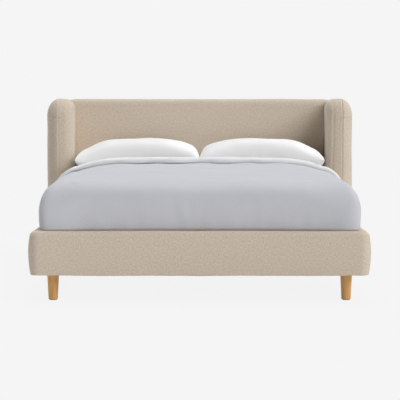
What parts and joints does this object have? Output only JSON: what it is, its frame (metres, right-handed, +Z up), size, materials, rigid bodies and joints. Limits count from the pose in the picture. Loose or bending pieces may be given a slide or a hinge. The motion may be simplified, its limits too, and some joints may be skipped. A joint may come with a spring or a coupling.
{
  "type": "wingback bed",
  "caption": "Upholstered low bed with a panel headboard between deep padded wings, sprung slats, tapered wooden legs, mattress, folded duvet and pillows.",
  "frame": {"origin": "on the floor, under the middle of the bed", "axes": "+Z up, -Y towards the foot of the bed, so that +Y runs to the headboard; +X to the right as seen from the foot"},
  "size_m": [1.845, 2.2251, 1.015],
  "materials": {
    "beige_upholstery": "linen-look weave, matt",
    "back_cloth": "flat woven cloth, matt",
    "foam": "open-cell foam",
    "softwood": "planed",
    "plywood": "sanded",
    "beech_slat": "varnished",
    "oak": "oiled, satin",
    "holder_plastic": "moulded",
    "black_steel": "powder coated",
    "zinc_steel": "zinc plated",
    "felt": "pressed felt",
    "ticking": "knitted",
    "duvet_cotton": "washed cotton, matt",
    "pillow_cotton": "washed cotton, matt"
  },
  "bodies": {
    "bed_frame": {"beam_hangers": "black_steel", "centre_beam": "softwood", "corner_block_left": "softwood", "corner_block_right": "softwood", "footboard_core": "softwood", "footboard_cover": "beige_upholstery", "footboard_foam": "foam", "headboard_back_cloth": "back_cloth", "headboard_board": "plywood", "headboard_bottom_rail": "softwood", "headboard_cover": "beige_upholstery", "headboard_cross_rails": "softwood", "headboard_foam": "foam", "headboard_post_left": "softwood", "headboard_post_right": "softwood", "hexagon_bolts": "zinc_steel", "leg_centre": "oak", "leg_front_left": "oak", "leg_front_right": "oak", "leg_inserts": "zinc_steel", "leg_pads": "felt", "leg_rear_left": "oak", "leg_rear_right": "oak", "leg_studs": "zinc_steel", "rail_catch_plates": "black_steel", "rail_hook_plates": "black_steel", "side_rail_core_left": "softwood", "side_rail_core_right": "softwood", "side_rail_cover_left": "beige_upholstery", "side_rail_cover_right": "beige_upholstery", "side_rail_end_blocks": "softwood", "side_rail_foam_left": "foam", "side_rail_foam_right": "foam", "slat_holders_centre": "holder_plastic", "slat_holders_left": "holder_plastic", "slat_holders_right": "holder_plastic", "slat_ledge_left": "softwood", "slat_ledge_right": "softwood", "slats_left": "beech_slat", "slats_right": "beech_slat", "wing_back_post_left": "softwood", "wing_back_post_right": "softwood", "wing_boards_left": "plywood", "wing_boards_right": "plywood", "wing_cover_left": "beige_upholstery", "wing_cover_right": "beige_upholstery", "wing_cross_rails_left": "softwood", "wing_cross_rails_right": "softwood", "wing_foam_left": "foam", "wing_foam_right": "foam", "wing_front_post_left": "softwood", "wing_front_post_right": "softwood", "wing_joint_blocks": "softwood", "wood_screws": "zinc_steel"},
    "mattress": {"mattress": "ticking"},
    "duvet": {"duvet": "duvet_cotton"},
    "pillow_left": {"pillow_left": "pillow_cotton"},
    "pillow_right": {"pillow_right": "pillow_cotton"}
  },
  "joints": [
    {"name": "mattress_lift", "type": "slide", "parent": "bed_frame", "child": "mattress", "axis": [0, 0, 1], "range_m": [0, 0.73]},
    {"name": "duvet_lift", "type": "slide", "parent": "mattress", "child": "duvet", "axis": [0, 0, 1], "range_m": [0, 0.35]},
    {"name": "pillow_left_lift", "type": "slide", "parent": "mattress", "child": "pillow_left", "axis": [0, 0, 1], "range_m": [0, 0.35]},
    {"name": "pillow_right_lift", "type": "slide", "parent": "mattress", "child": "pillow_right", "axis": [0, 0, 1], "range_m": [0, 0.35]}
  ]
}
